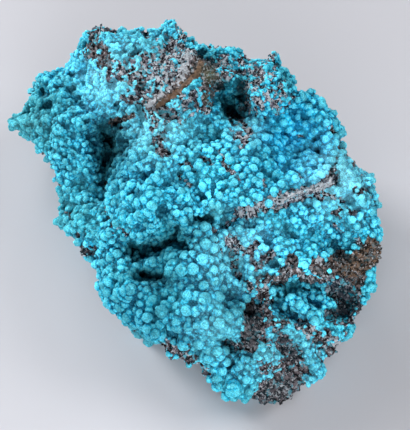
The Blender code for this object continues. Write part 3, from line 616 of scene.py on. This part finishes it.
def base_surface():
    """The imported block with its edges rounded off, then the pits, ledges, lumps and rough rock; how much
    of each of its points the viewer sees, and how far the lumps stand out there."""
    mesh = remeshed(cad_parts[NODE].data.copy(), BASE_STEP, BASE_SOFTENING)
    points = corners(mesh)
    shown = shown_share(mesh)
    spots = view_mm(points)
    for _, pixels, reach, (right, up) in RIM:
        share = shown * np.exp(-((distance_to_line(spots, pixels) / reach) ** 2)) * MM
        points += share[:, None] * np.array(RIGHT * right + UP * up)
    points[:, 2] = np.maximum(points[:, 2], 0)
    spots = view_mm(points)
    lift = np.zeros(len(points))
    bend = ragged(points)
    for _, pixels, width, depth, _ in HOLES:
        chosen, away = close_to(spots, pixels, width * 2)
        depth *= 1 if width > SMALL_HOLE else SMALL_HOLE_SHARE
        lift[chosen] -= depth * np.exp(-((away * bend[chosen] / width) ** 3))
    for _, pixels, reach, height in LEDGES:
        chosen, away = close_to(spots, pixels, reach * 3)
        lift[chosen] += height * np.exp(-((away / reach) ** 2))
    points = points + (lift * shown * MM)[:, None] * np.array(TOWARD)
    set_corners(mesh, points)

    points, normals = corners(mesh), facing(mesh)
    bare, _ = bare_share(points, shown)
    rough = clouds(points, 6 * MM, 4, 1.0) * 0.8 + (chips(points, 3.2 * MM) - 0.5) * 1.3
    rocky = ramp(bare, 0.25, 0.8)
    depth = rocky * rough - 0.7
    low = ramp(points[:, 2], 0.3 * MM, 3 * MM)
    under = normals[:, 2] < -0.5
    depth = np.where(under, depth * low - 0.3 * (1 - low), depth) * MM
    swelling = lumps(points) * (1 - 0.7 * rocky) * low
    depth += swelling
    set_corners(mesh, points + normals * depth[:, None])
    return mesh, shown, swelling


def ragged(points):
    """What distances to a hole are scaled by, so that its edge isn't an even one."""
    return 1 + 0.35 * clouds(points, 2.5 * MM, 2, 12.0)


def lumps(points):
    """How far the crust's rounded lumps, and the cracks between them, stand out from the surface."""
    bend = np.stack([clouds(points, 5 * MM, 2, k) for k in (2.0, 4.0, 6.0)], axis=1) * 1.5 * MM
    total = np.zeros(len(points))
    for size, rise, crack, width in LUMPS:
        found = [noise.voronoi(p)[0] for p in (points + bend) / size]
        near = np.array([d[0] for d in found])
        gap = np.array([d[1] - d[0] for d in found])
        total += rise * (0.35 - np.clip(near / 0.9, 0, 1) ** 2) - crack * (1 - ramp(gap, 0, width))
    return total


def darkness(points):
    """How much painted shade each point gets, from 0 in the open to 1 in the dark of a hole."""
    spots = view_mm(points)
    bend = ragged(points)
    dark = np.zeros(len(points))
    for _, pixels, width, _, painted_shade in HOLES:
        chosen, away = close_to(spots, pixels, width * 2)
        painted_shade *= 1 if width > SMALL_HOLE else SMALL_HOLE_SHADE
        dark[chosen] = np.maximum(dark[chosen], painted_shade * np.exp(-((away * bend[chosen] / width) ** 3)))
    return dark


def shown_share(mesh):
    """From 0 on the far side of the block to 1 where the viewer sees the surface, or would but for a thin
    part in front of it."""
    points = corners(mesh)
    tree = BVHTree.FromPolygons(points.tolist(), [p.vertices[:] for p in mesh.polygons])
    behind = np.empty(len(points))
    for i, point in enumerate(points):
        line = Vector(point) - EYE
        distance = tree.ray_cast(EYE, line.normalized())[3]
        behind[i] = 0 if distance is None else line.length - distance
    return 1 - ramp(behind, SEEN_DEPTH[0], SEEN_DEPTH[1])


def bare_share(points, shown):
    """How much of the crust is missing at each point, and how brown the rock is there."""
    spots = view_mm(points)
    wobble = clouds(points, 5 * MM, 3, 5.0)
    bare = np.zeros(len(points))
    brown = np.full(len(points), 0.2)
    for _, pixels, width, missing, brownness in BARE_ROCK:
        chosen, away = close_to(spots, pixels, width * 2)
        reach = width * (1.15 + 0.3 * wobble[chosen])
        near = 1 - ramp(away, reach * 0.75, reach * 1.35)
        if missing:
            bare[chosen] = np.maximum(bare[chosen], near * missing)
            brown[chosen] += near * (brownness - brown[chosen])
        else:
            bare[chosen] *= 1 - near
    hidden = 1 - shown
    patchy = ramp(clouds(points, 11 * MM, 3, 8.0), -0.28, 0.12)
    bare = bare * shown + patchy * 0.97 * hidden
    brown = brown * shown + (0.35 + 0.6 * ramp(wobble, 0.0, 0.6)) * hidden
    return bare, np.clip(brown, 0, 1)


# The crust
def ball_radius(points, shown):
    """The usual radius of the balls of crust near each point."""
    spots = view_mm(points)
    total = np.full(len(points), 1e-4)
    size = total * 1.1
    for _, pixel, reach, radius in BALL_SIZES:
        near = near_pixel(spots, pixel, reach)
        total += near
        size += near * radius
    size = size / total
    return size * (1.3 - 0.3 * shown) * MM


def random_spots(mesh, values, count, rng):
    """Points spread evenly at random over the surface, and the normals and values there."""
    mesh.calc_loop_triangles()
    triangles = np.empty(len(mesh.loop_triangles) * 3, np.int32)
    mesh.loop_triangles.foreach_get("vertices", triangles)
    triangles = triangles.reshape(-1, 3)
    places = corners(mesh)[triangles]
    directions = np.cross(places[:, 1] - places[:, 0], places[:, 2] - places[:, 0])
    areas = np.linalg.norm(directions, axis=1)
    chosen = rng.choice(len(areas), count, p=areas / areas.sum())
    weights = rng.dirichlet((1, 1, 1), count)
    points = np.einsum("tc,tcd->td", weights, places[chosen])
    smooth = facing(mesh)[triangles[chosen]]
    normals = np.einsum("tc,tcd->td", weights, smooth)
    found = [np.einsum("tc,tc->t", weights, value[triangles[chosen]]) for value in values]
    return points, normals / np.linalg.norm(normals, axis=1)[:, None], *found


def packed(points, radii, closeness):
    """Which of the balls to keep, large ones first, so that no two stand nearer than this share of
    the sum of their radii."""
    cell = radii.max() * 2 * closeness
    keys = [tuple(k) for k in np.floor(points / cell).astype(int)]
    around = [(x, y, z) for x in (-1, 0, 1) for y in (-1, 0, 1) for z in (-1, 0, 1)]
    grid = {}
    kept = []
    for i in np.argsort(-radii):
        x, y, z = keys[i]
        near = [j for dx, dy, dz in around for j in grid.get((x + dx, y + dy, z + dz), ())]
        if near:
            gaps = np.sum((points[near] - points[i]) ** 2, axis=1)
            if np.any(gaps < (closeness * (radii[near] + radii[i])) ** 2):
                continue
        grid.setdefault((x, y, z), []).append(i)
        kept.append(i)
    return np.array(kept)


def seen_point(points, spots, pixel):
    """The one of these points that the viewer sees nearest to this pixel."""
    away = np.linalg.norm(spots - pixel_mm(pixel), axis=1)
    near = np.flatnonzero(away < max(1.0, away.min() + 0.3))
    return points[near[np.argmax(points[near] @ np.array(TOWARD))]]


def crust_balls(base, base_shown, base_swelling, rng):
    """The centres and radii of the balls of crust, and how much the viewer sees of the place of each."""
    points, normals, shown, swelling = random_spots(base, (base_shown, base_swelling), BALL_TRIES, rng)
    bare, _ = bare_share(points, shown)
    variety = np.exp(rng.normal(0, 0.36, len(points)))
    radii = ball_radius(points, shown) * np.clip(variety, 0.5, 1.55)
    radii *= 1 - 0.35 * ramp(bare, 0.2, 0.7)
    radii *= 1 - 0.45 * darkness(points) * shown
    radii *= 0.74 + 0.46 * ramp(swelling, -1.6 * MM, 1.2 * MM)
    patch = clouds(points, 2.4 * MM, 3, 9.0)
    rank = np.empty(len(points))
    rank[np.argsort(patch)] = np.linspace(0, 1, len(points))
    grows = rank > bare
    grows &= (points[:, 2] > 1.5 * MM) | (normals[:, 2] > -0.3)
    points, normals, radii, shown = points[grows], normals[grows], radii[grows], shown[grows]
    kept = packed(points, radii, BALL_CLOSENESS)
    points, normals, radii, shown = points[kept], normals[kept], radii[kept], shown[kept]
    centres = points + normals * (radii * rng.uniform(-0.50, 0.25, len(kept)))[:, None]

    places = corners(base)
    spots = view_mm(places)
    large = np.array([seen_point(places, spots, pixel) for _, pixel, _ in LARGE_BALLS])
    sizes = np.array([radius * MM for _, _, radius in LARGE_BALLS])
    large = large - np.array(TOWARD) * sizes[:, None] * 0.25
    gaps = np.linalg.norm(centres[:, None] - large[None], axis=2) - sizes[None] * 0.95
    clear = gaps.min(axis=1) > 0
    centres = np.concatenate([centres[clear], large])
    normals = np.concatenate([normals[clear], np.tile(np.array(TOWARD), (len(large), 1))])
    radii = np.concatenate([radii[clear], sizes])
    shown = np.concatenate([shown[clear], np.ones(len(sizes))])

    # Small balls grow on the larger ones
    host = np.repeat(np.flatnonzero(radii > HOST_RADIUS), BUDS)
    out = normals[host] + rng.normal(0, 0.62, (len(host), 3))
    out /= np.linalg.norm(out, axis=1)[:, None]
    share = rng.uniform(0.26, 0.42, len(host))
    buds = centres[host] + out * (radii[host] * (1.0 - share * rng.uniform(0.45, 0.75, len(host))))[:, None]
    bud_radii = radii[host] * share
    return (
        np.concatenate([centres, buds]),
        np.concatenate([radii, bud_radii]),
        np.concatenate([shown, shown[host]]),
    )


def fused(base, centres, radii):
    """One closed surface round the base and the balls, with even faces."""
    bm = bmesh.new()
    bmesh.ops.create_icosphere(bm, subdivisions=2, radius=1.0)
    shape = np.array([v.co for v in bm.verts])
    shape_faces = np.array([[v.index for v in f.verts] for f in bm.faces])
    bm.free()
    balls = (centres[:, None] + shape[None] * radii[:, None, None]).reshape(-1, 3)
    ball_faces = shape_faces[None] + (np.arange(len(centres)) * len(shape))[:, None, None]
    base.calc_loop_triangles()
    faces = np.empty(len(base.loop_triangles) * 3, np.int32)
    base.loop_triangles.foreach_get("vertices", faces)
    points = np.concatenate([corners(base), balls])
    faces = np.concatenate([faces.reshape(-1, 3), ball_faces.reshape(-1, 3) + len(base.vertices)])
    return thinned(remeshed(mesh_of("fused", points, faces), FINE_STEP, FINE_SOFTENING))


def thinned(mesh):
    """The mesh with larger faces on its flat underside, which needs no fine ones."""
    obj = bpy.data.objects.new("surface", mesh)
    bpy.context.scene.collection.objects.link(obj)
    group = obj.vertex_groups.new(name="underside")
    group.add(np.flatnonzero(corners(mesh)[:, 2] < UNDERSIDE).tolist(), 1.0, "REPLACE")
    fewer = obj.modifiers.new("fewer faces", "DECIMATE")
    fewer.vertex_group = group.name
    fewer.ratio = KEPT_FACES
    return applied(obj)


def mesh_of(name, points, triangles):
    mesh = bpy.data.meshes.new(name)
    mesh.vertices.add(len(points))
    mesh.vertices.foreach_set("co", points.astype(np.float32).ravel())
    mesh.loops.add(len(triangles) * 3)
    mesh.loops.foreach_set("vertex_index", triangles.astype(np.int32).ravel())
    mesh.polygons.add(len(triangles))
    mesh.polygons.foreach_set("loop_start", np.arange(len(triangles), dtype=np.int32) * 3)
    mesh.update(calc_edges=True)
    return mesh


def nearest_balls(points, centres, radii):
    """The ball whose surface each point is nearest to, and how far outside it the point is."""
    tree = KDTree(len(centres))
    for i, c in enumerate(centres):
        tree.insert(c, i)
    tree.balance()
    near = np.array([[k for _, k, _ in tree.find_n(p, NEAREST)] for p in points])
    gaps = np.linalg.norm(points[:, None] - centres[near], axis=2) - radii[near]
    best = np.argmin(gaps, axis=1)
    rows = np.arange(len(points))
    return near[rows, best], gaps[rows, best]


def nearest_points(points, others):
    """Which of the others each point is nearest to."""
    tree = KDTree(len(others))
    for i, other in enumerate(others):
        tree.insert(other, i)
    tree.balance()
    return np.array([tree.find(p)[1] for p in points], int)


def averaged(values, edges, rounds):
    """The values, evened out with their neighbours' this many times."""
    count = len(values)
    ends = np.concatenate([edges[:, 0], edges[:, 1]])
    others = np.concatenate([edges[:, 1], edges[:, 0]])
    number = np.maximum(np.bincount(ends, minlength=count), 1)
    for _ in range(rounds):
        sums = [np.bincount(ends, values[others, i], count) for i in range(values.shape[1])]
        values = (values + np.stack(sums, axis=1) / number[:, None]) / 2
    return values


def grow():
    """The finished surface: its mesh and the shares that its material reads."""
    rng = np.random.default_rng(SEED)
    base, base_shown, base_swelling = base_surface()
    centres, radii, ball_shown = crust_balls(base, base_shown, base_swelling, rng)
    mesh = fused(base, centres, radii)
    points, normals = corners(mesh), facing(mesh)

    # Balls are made truly round, and the rock between them is roughened
    owner, gap = nearest_balls(points, centres, radii)
    shown = ball_shown[owner]
    on_ball = np.abs(gap) < 0.6 * FINE_STEP
    shown[~on_ball] = base_shown[nearest_points(points[~on_ball], corners(base))]
    outward = points - centres[owner]
    outward /= np.linalg.norm(outward, axis=1)[:, None]
    points = points - outward * np.where(on_ball, gap, 0)[:, None]
    bare, brown = bare_share(points, shown)
    rough = clouds(points, 1.5 * MM, 3, 3.0)
    depth = np.where(on_ball, rough * 0.24, 0)
    rocky = np.flatnonzero(~on_ball & (bare > 0.2))
    broken = rough[rocky] * 0.85 + (chips(points[rocky], 1.8 * MM, 7.0) - 0.6) * 1.1
    depth[rocky] = broken * ramp(bare[rocky], 0.2, 0.6)
    points = points + normals * (depth * MM)[:, None]
    points[:, 2] = np.maximum(points[:, 2], 0)
    set_corners(mesh, points)
    normals = facing(mesh)

    edges = np.empty(len(mesh.edges) * 2, np.int32)
    mesh.edges.foreach_get("vertices", edges)
    edges = edges.reshape(-1, 2)
    # How far each point stands out from its neighbours: the material paints shade into the crevices between balls
    # and a highlight on their tops from it, and shade into the hollows between lumps from the broader swell
    even = averaged(points, edges, 14)
    height = ramp(np.einsum("ij,ij->i", points - even, normals), -0.26 * MM, 0.28 * MM)
    smooth = averaged(even, edges, 80)
    swell = ramp(np.einsum("ij,ij->i", even - smooth, normals), -0.7 * MM, 0.5 * MM)
    tint = rng.uniform(0, 1, len(centres))[owner]
    crust = np.maximum(on_ball, ramp(0.55 - bare, 0, 0.1))
    shares = {
        "crust": (crust, height, tint),
        "rock": (brown, *rock_marks(points)),
        "tone": tones(points, normals, shown),
        # The shade shares: painted shade in the holes, how far the lumps stand out (painted shade between them) and
        # the crust's painted lightening and darkening by region
        "shade": (darkness(points) * shown, swell, brightness(points)),
    }
    return mesh, shares


def brightness(points):
    """From 0 where the crust is painted darkest to 1 where it is painted lightest, partly its own tone and partly
    painted light and shade.
    """
    spots = view_mm(points)
    bright = np.full(len(points), 0.5)
    for pixel, reach, share in BRIGHT_CRUST:
        bright += share * near_pixel(spots, pixel, reach)
    return np.clip(bright, 0, 1)


def rock_marks(points):
    """Where the rock is white mineral, and where it is olive."""
    spots = view_mm(points)
    white = np.zeros(len(points))
    for _, pixels, width, whiteness in WHITE_ROCK:
        chosen, away = close_to(spots, pixels, width * 2)
        near = 1 - ramp(away, width * 0.7, width * 1.4)
        white[chosen] = np.maximum(white[chosen], near * whiteness)
    for pixel, reach, share in PALE_ROCK:
        white = np.maximum(white, share * near_pixel(spots, pixel, reach))
    olive = near_pixel(spots, (210, 74), 10) + 0.6 * near_pixel(spots, (208, 98), 7)
    return white, np.clip(olive, 0, 1)


def tones(points, normals, shown):
    """How deep blue, how green and how pale the crust is."""
    spots = view_mm(points)
    deep = near_pixel(spots, (292, 140), 46) + 0.7 * near_pixel(spots, (215, 100), 22)
    deep += 0.5 * near_pixel(spots, (150, 310), 50) + 0.4 * near_pixel(spots, (150, 195), 35)
    deep += 0.5 * near_pixel(spots, (90, 155), 40)
    green = near_pixel(spots, (22, 120), 34) + 0.6 * near_pixel(spots, (58, 220), 26)
    green += 0.9 * near_pixel(spots, (218, 210), 9) + 0.35 * near_pixel(spots, (90, 190), 30)
    pale = 0.65 * near_pixel(spots, (100, 80), 30) + 0.5 * near_pixel(spots, (140, 60), 35)
    pale += 0.8 * near_pixel(spots, (155, 125), 35) + 0.7 * near_pixel(spots, (246, 130), 16)
    pale += 1.0 * near_pixel(spots, (338, 178), 34) + 0.7 * near_pixel(spots, (240, 255), 35)
    pale += 0.6 * near_pixel(spots, (285, 360), 38) + 0.4 * near_pixel(spots, (215, 330), 30)
    hidden = 1 - shown
    return (
        np.clip(deep * shown, 0, 1),
        np.clip(green * shown + 0.35 * hidden, 0, 1),
        np.clip(pale * shown + 0.3 * hidden, 0, 1),
    )


# Shader
def crust_material():
    """Dusty blue-green balls over speckled grey and brown rock, told apart by the mesh's shares, with painted shade
    in crevices and holes and painted highlights on the balls.
    """
    material = bpy.data.materials.new("chrysocolla crust and matrix")
    material.use_nodes = True
    tree = material.node_tree
    shader = tree.nodes["Principled BSDF"]
    link = tree.links.new

    def node(kind, **values):
        made = tree.nodes.new(kind)
        for name, value in values.items():
            setattr(made, name, value)
        return made

    def split(name):
        attribute = node("ShaderNodeAttribute", attribute_name=name)
        parts = node("ShaderNodeSeparateColor")
        link(attribute.outputs["Color"], parts.inputs["Color"])
        return parts.outputs

    def mix(share, low, high, kind="MIX"):
        made = node("ShaderNodeMix", data_type="RGBA", blend_type=kind, clamp_factor=True)
        for socket, value in ((0, share), (6, low), (7, high)):
            if isinstance(value, bpy.types.NodeSocket):
                link(value, made.inputs[socket])
            else:
                made.inputs[socket].default_value = value
        return made.outputs[2]

    def math_node(operation, *values):
        made = node("ShaderNodeMath", operation=operation)
        for i, value in enumerate(values):
            if isinstance(value, bpy.types.NodeSocket):
                link(value, made.inputs[i])
            else:
                made.inputs[i].default_value = value
        return made.outputs[0]

    def between(value, low, high, out_low=0.0, out_high=1.0):
        made = node("ShaderNodeMapRange", interpolation_type="SMOOTHSTEP")
        link(value, made.inputs["Value"])
        for name, number in (("From Min", low), ("From Max", high), ("To Min", out_low), ("To Max", out_high)):
            made.inputs[name].default_value = number
        return made.outputs["Result"]

    place = node("ShaderNodeTexCoord").outputs["Object"]

    def grain(size, detail=3.0, roughness=0.6):
        made = node("ShaderNodeTexNoise")
        made.inputs["Scale"].default_value = 1 / size
        made.inputs["Detail"].default_value = detail
        made.inputs["Roughness"].default_value = roughness
        link(place, made.inputs["Vector"])
        return made.outputs["Fac"]

    crust_share, height, tint = (split("crust")[i] for i in range(3))
    brown, white, olive = (split("rock")[i] for i in range(3))
    deep, green, pale = (split("tone")[i] for i in range(3))
    dark, swell, bright = (split("shade")[i] for i in range(3))

    # Crust
    crevice = (0.001, 0.060, 0.112, 1)
    body = (0.004, 0.400, 0.640, 1)
    crown = (0.130, 0.750, 0.920, 1)
    # Painted shade in the crevices between balls and painted highlight on their tops, by how far each point stands
    # out
    colour = mix(between(height, 0.10, 0.56), crevice, body)
    colour = mix(between(height, 0.60, 1.0, 0, 0.9), colour, crown)
    # Painted shade in the hollows between the crust's lumps
    colour = mix(between(swell, 0.0, 0.75, 0.80, 0.0), colour, (0.001, 0.110, 0.200, 1))
    colour = mix(math_node("MULTIPLY", deep, 0.45), colour, (0.004, 0.280, 0.520, 1))
    leafy = between(grain(11 * MM, 2.0, 0.5), 0.42, 0.66, 0.0, 0.32)
    colour = mix(leafy, colour, (0.025, 0.380, 0.460, 1))
    colour = mix(math_node("MULTIPLY", green, 0.5), colour, (0.080, 0.330, 0.320, 1))
    colour = mix(math_node("MULTIPLY", pale, 0.48), colour, (0.300, 0.660, 0.740, 1))
    # Pale dust specks on the crust, which also serve as painted sparkle highlights
    dust_and_sparkle = between(grain(0.7 * MM, 4.0, 0.7), 0.46, 0.68)
    colour = mix(math_node("MULTIPLY", dust_and_sparkle, between(deep, 0.0, 1.0, 0.36, 0.05)), colour, (0.220, 0.800, 0.950, 1))
    value = between(tint, 0.0, 1.0, 0.72, 1.22)
    # Painted light and shade by region, over the crust's own tone
    value = math_node("MULTIPLY", value, between(bright, 0.0, 1.0, 0.80, 1.55))
    value = math_node("MULTIPLY", value, between(grain(0.5 * MM, 2.0, 0.5), 0.38, 0.62, 0.74, 1.22))
    shade = node("ShaderNodeVectorMath", operation="SCALE")
    link(colour, shade.inputs[0])
    link(value, shade.inputs["Scale"])
    crust_colour = shade.outputs[0]

    # Rock
    speck = grain(1.7 * MM, 4.0, 0.7)
    rock = mix(between(speck, 0.46, 0.58), (0.006, 0.005, 0.009, 1), (0.165, 0.158, 0.212, 1))
    soil = mix(between(speck, 0.46, 0.60), (0.016, 0.013, 0.010, 1), (0.235, 0.152, 0.102, 1))
    rock = mix(brown, rock, soil)
    glints = between(grain(1.5 * MM, 2.0, 0.5), 0.58, 0.61)
    rock = mix(math_node("MULTIPLY", glints, between(brown, 0.15, 0.6, 0.9, 0.2)), rock, (0.620, 0.660, 0.720, 1))
    flecks = between(grain(2.3 * MM, 3.0, 0.6), 0.57, 0.60)
    rock = mix(math_node("MULTIPLY", flecks, between(brown, 0.15, 0.6, 0.85, 0.12)), rock, (0.160, 0.620, 0.780, 1))
    clear = math_node("MULTIPLY", white, between(brown, 0.5, 0.9, 1.0, 0.1))
    pale_grain = math_node("ADD", grain(1.4 * MM, 3.0, 0.6), math_node("MULTIPLY", clear, 0.22))
    rock = mix(between(pale_grain, 0.60, 0.66, 0.0, 0.92), rock, (0.580, 0.620, 0.670, 1))
    rock = mix(between(brown, 0.96, 1.0, 0.0, 0.75), rock, (0.250, 0.155, 0.105, 1))
    rock = mix(math_node("MULTIPLY", olive, 0.75), rock, (0.120, 0.125, 0.075, 1))

    edge = math_node("ADD", crust_share, math_node("MULTIPLY", math_node("SUBTRACT", dust_and_sparkle, 0.5), 0.3))
    is_crust = between(edge, 0.4, 0.6)
    stone = mix(is_crust, rock, crust_colour)
    # Painted shade: the holes and clefts listed in HOLES are darkened towards a deep teal
    stone = mix(math_node("MULTIPLY", dark, 0.95), stone, (0.002, 0.040, 0.058, 1))
    link(stone, shader.inputs["Base Color"])
    shader.inputs["Roughness"].default_value = 0.8
    shader.inputs["Specular IOR Level"].default_value = 0.15

    bump = node("ShaderNodeBump")
    bump.inputs["Strength"].default_value = 0.8
    bump.inputs["Distance"].default_value = 0.5 * MM
    link(grain(0.7 * MM, 4.0, 0.65), bump.inputs["Height"])
    link(bump.outputs["Normal"], shader.inputs["Normal"])
    return material


def dress(mesh, shares):
    """Splits the surface into pieces and puts them on the frame. Each keeps the whole surface's normals,
    so no seam shows."""
    material = crust_material()
    points = corners(mesh)
    normals = facing(mesh)
    mesh.calc_loop_triangles()
    triangles = np.empty(len(mesh.loop_triangles) * 3, np.int32)
    mesh.loop_triangles.foreach_get("vertices", triangles)
    triangles = triangles.reshape(-1, 3)
    along = points[triangles, 0].mean(axis=1)
    cuts = np.quantile(along, np.linspace(0, 1, len(PIECES) + 1))
    cuts[-1] += 1
    for name, low, high in zip(PIECES, cuts, cuts[1:]):
        chosen = triangles[(along >= low) & (along < high)]
        used, local = np.unique(chosen, return_inverse=True)
        piece_mesh = bpy.data.meshes.new(name)
        piece_mesh.from_pydata(points[used], [], local.reshape(-1, 3))
        for label, channels in shares.items():
            layer = piece_mesh.attributes.new(label, "FLOAT_COLOR", "POINT")
            values = np.ones((len(used), 4), np.float32)
            for i, channel in enumerate(channels):
                values[:, i] = np.asarray(channel)[used]
            layer.data.foreach_set("color", values.ravel())
        piece_mesh.shade_smooth()
        piece_mesh.normals_split_custom_set_from_vertices(normals[used])
        piece_mesh.materials.append(material)
        piece = bpy.data.objects.new(name, piece_mesh)
        bpy.context.scene.collection.objects.link(piece)
        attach(piece, "root")
        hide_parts(NODE)
        print(name, len(chosen))


# Table, light and camera
def table_top():
    mesh = bpy.data.meshes.new("table")
    half = 3.0
    mesh.from_pydata(
        [(-half, -half, 0), (half, -half, 0), (half, half, 0), (-half, half, 0)], [], [(0, 1, 2, 3)]
    )
    top = bpy.data.objects.new("table", mesh)
    bpy.context.scene.collection.objects.link(top)
    material = bpy.data.materials.new("pale table")
    material.use_nodes = True
    shader = material.node_tree.nodes["Principled BSDF"]
    shader.inputs["Base Color"].default_value = (0.580, 0.580, 0.624, 1)
    shader.inputs["Roughness"].default_value = 0.75
    mesh.materials.append(material)


def softbox(name, turn, rise, distance, size, power):
    """An area light aimed at the block. It stands this many degrees round from the viewer's right and
    this many degrees up."""
    away = Vector((-math.sin(VIEW_AZIMUTH), math.cos(VIEW_AZIMUTH), 0))
    turn, rise = math.radians(turn), math.radians(rise)
    level = RIGHT * math.cos(turn) + away * math.sin(turn)
    direction = level * math.cos(rise) + Vector((0, 0, math.sin(rise)))
    light = bpy.data.lights.new(name, "AREA")
    light.shape = "SQUARE"
    light.size = size
    light.energy = power
    lamp = bpy.data.objects.new(name, light)
    bpy.context.scene.collection.objects.link(lamp)
    lamp.location = Vector((0, 0, 40 * MM)) + direction * distance
    lamp.rotation_mode = "QUATERNION"
    lamp.rotation_quaternion = (-direction).to_track_quat("-Z", "Y")


def studio():
    softbox("left", 150, 27, 1.2, 0.38, 13.2)
    softbox("back", 115, 45, 1.2, 0.6, 3.4)
    softbox("right", 0, 45, 1.2, 0.6, 5.8)
    softbox("front", 270, 27, 0.6, 0.35, 2.5)
    world = bpy.data.worlds.new("room")
    bpy.context.scene.world = world
    world.use_nodes = True
    background = world.node_tree.nodes["Background"]
    background.inputs["Color"].default_value = (0.96, 0.97, 1.0, 1)
    background.inputs["Strength"].default_value = 0.06
    bpy.context.scene.view_settings.view_transform = "Standard"


def camera():
    data = bpy.data.cameras.new("camera")
    data.sensor_width = SENSOR_MM
    data.lens = PIXELS_PER_METRE * VIEW_DISTANCE * SENSOR_MM / max(PICTURE)
    data.clip_start = 0.01
    eye = bpy.data.objects.new("camera", data)
    bpy.context.scene.collection.objects.link(eye)
    eye.location = EYE
    eye.rotation_mode = "QUATERNION"
    eye.rotation_quaternion = Matrix((RIGHT, UP, TOWARD)).transposed().to_quaternion()
    bpy.context.scene.camera = eye


camera()
studio()
table_top()
dress(*grow())
